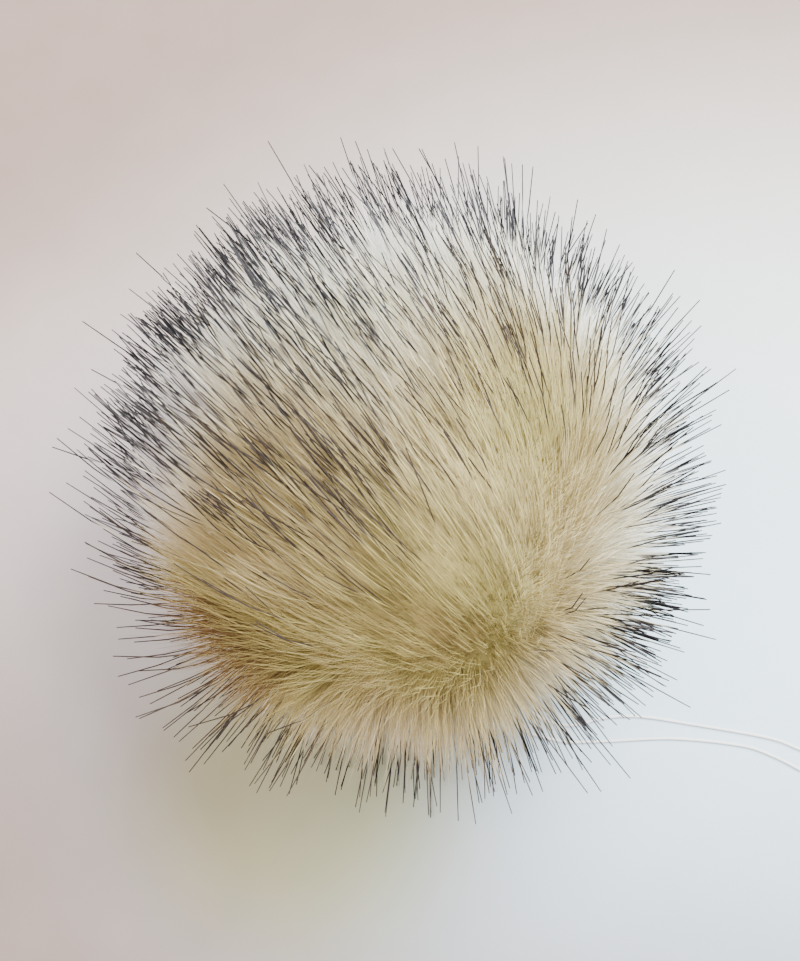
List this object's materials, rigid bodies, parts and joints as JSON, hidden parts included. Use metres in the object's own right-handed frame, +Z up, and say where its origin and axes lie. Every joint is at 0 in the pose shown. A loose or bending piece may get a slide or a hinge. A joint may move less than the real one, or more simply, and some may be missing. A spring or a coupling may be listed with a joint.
{
  "type": "long-pile fur pom pom with tie thread",
  "caption": "Round ball of long cream fur with black-tipped hairs that part at a crown, resting on a small flat spot, with its white tie thread's two free ends lying beside it.",
  "frame": {"origin": "middle of the small flat spot under the ball, on the surface that it rests on", "axes": "+Z up from the surface, +Y away from the viewer, +X towards the side where the tie ends leave"},
  "size_m": [0.1988, 0.1524, 0.1151],
  "materials": {
    "fur": "long soft pile, cream with charcoal hair tips",
    "thread": "matt white twisted thread"
  },
  "bodies": {
    "root": {"fur_pile": "fur", "tie_end_inner": "thread", "tie_end_outer": "thread"}
  },
  "joints": []
}
